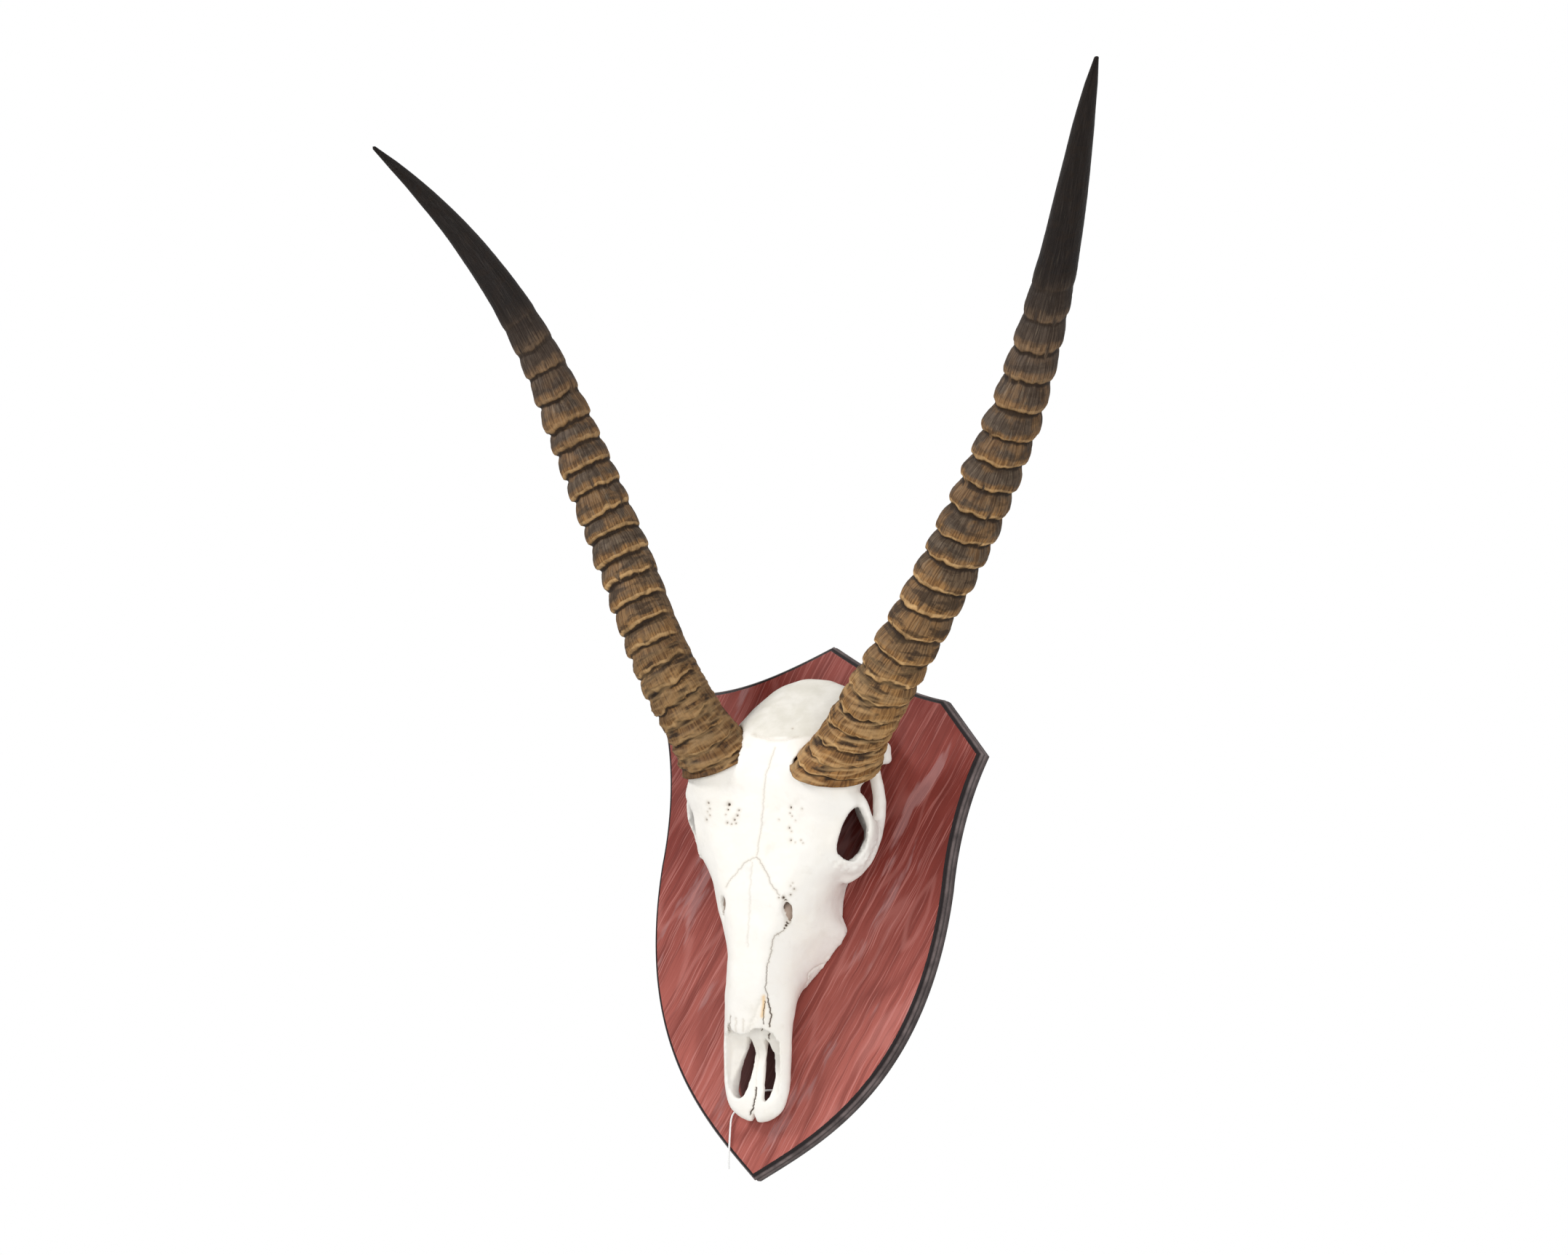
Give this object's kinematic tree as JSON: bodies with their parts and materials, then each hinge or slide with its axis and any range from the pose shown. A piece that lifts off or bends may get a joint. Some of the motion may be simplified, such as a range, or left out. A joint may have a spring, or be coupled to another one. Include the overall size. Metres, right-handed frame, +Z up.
{
  "type": "mounted gazelle horns",
  "caption": "Ringed, tapering gazelle horns on their bleached skull, mounted on a shield-shaped stained wooden wall plaque.",
  "frame": {"origin": "middle of the plaque's back face, halfway up its height", "axes": "+X across the plaque towards the viewer's right, +Y out of its back into the wall, +Z up"},
  "size_m": [0.5302, 0.2597, 0.6329],
  "materials": {
    "stained_wood": "mahogany-red stain, satin, routed dark edge",
    "bleached_bone": "bleached dry bone, matt",
    "horn": "ringed brown horn, darker towards the tips, low sheen",
    "white_thread": "white twisted thread"
  },
  "bodies": {
    "root": {"plaque": "stained_wood", "skull": "bleached_bone", "horn_right": "horn", "horn_left": "horn", "tie_thread": "white_thread"}
  },
  "joints": []
}
